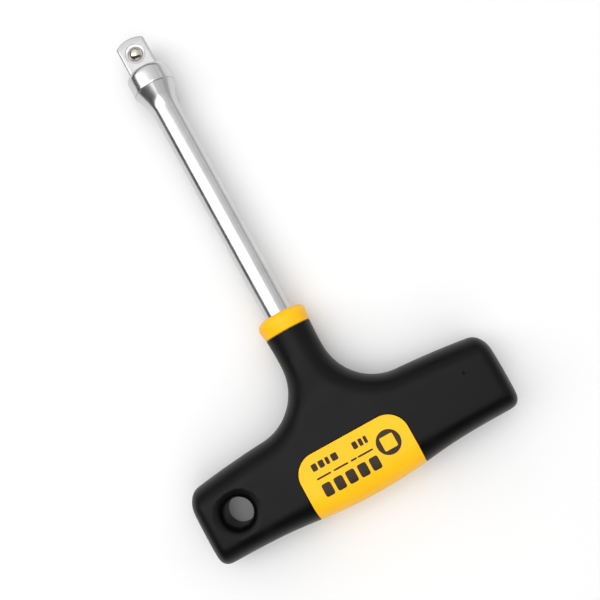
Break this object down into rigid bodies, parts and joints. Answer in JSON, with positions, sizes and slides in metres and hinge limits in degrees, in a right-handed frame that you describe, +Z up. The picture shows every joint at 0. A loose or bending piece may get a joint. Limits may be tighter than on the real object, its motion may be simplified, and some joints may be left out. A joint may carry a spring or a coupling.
{
  "type": "t-handle wrench",
  "caption": "T-handle wrench: two-colour moulded crossbar grip, round steel blade, and a square drive with a sprung ball detent.",
  "frame": {"origin": "on the handle's flat underside, below the point where the blade's axis crosses the crossbar", "axes": "+Z up out of the upper face, +Y along the blade towards the square drive, X along the crossbar with the hanging hole on -X"},
  "size_m": [0.1022, 0.16, 0.019],
  "materials": {
    "blade_steel": "satin chrome plating over a drawn and turned bar",
    "ball_steel": "polished bearing ball",
    "spring_steel": "drawn spring wire",
    "yellow_core": "hard yellow moulding with a low gloss",
    "black_grip": "black soft moulding with a fine matt texture"
  },
  "bodies": {
    "wrench": {"blade": "blade_steel", "detent_spring": "spring_steel", "handle_core": "yellow_core", "handle_grip": "black_grip"},
    "detent": {"detent_ball": "ball_steel"}
  },
  "joints": [
    {"name": "detent_press", "type": "slide", "parent": "wrench", "child": "detent", "axis": [0, 0, 1], "range_m": [-0.00125, 0], "stiffness_N_per_m": 1500, "springref_m": 0.002, "deforming": ["detent_spring"]}
  ]
}
